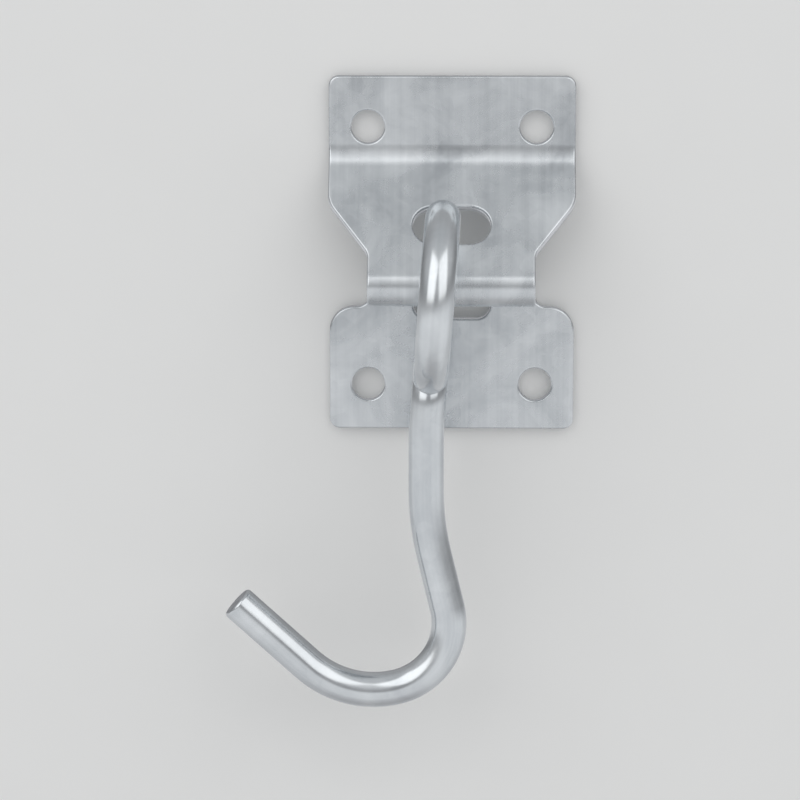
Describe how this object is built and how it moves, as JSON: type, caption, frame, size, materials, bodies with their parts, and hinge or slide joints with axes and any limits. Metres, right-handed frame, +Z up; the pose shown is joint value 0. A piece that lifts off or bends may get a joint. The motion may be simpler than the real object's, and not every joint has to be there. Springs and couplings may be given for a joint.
{
  "type": "hammock hook",
  "caption": "Swinging hammock hook: an open J hook of bent round bar whose eye turns in a slotted wall bracket of bent sheet steel with screw holes.",
  "frame": {"origin": "centre of the four screw holes, on the back face of the bracket", "axes": "+Z up, +Y into the wall, +X to the right as seen from the front"},
  "size_m": [0.069, 0.04, 0.1239],
  "materials": {
    "sheet_steel": "galvanised, satin",
    "bar_steel": "galvanised, satin"
  },
  "bodies": {
    "bracket": {"bracket": "sheet_steel"},
    "hook": {"hook": "bar_steel"}
  },
  "joints": [
    {"name": "hook_swing", "type": "hinge", "parent": "bracket", "child": "hook", "pos_m": [-0.0028, -0.021, -0.0049], "axis": [-0.9971, 0, 0.0767], "range_deg": [-12, 190]}
  ]
}
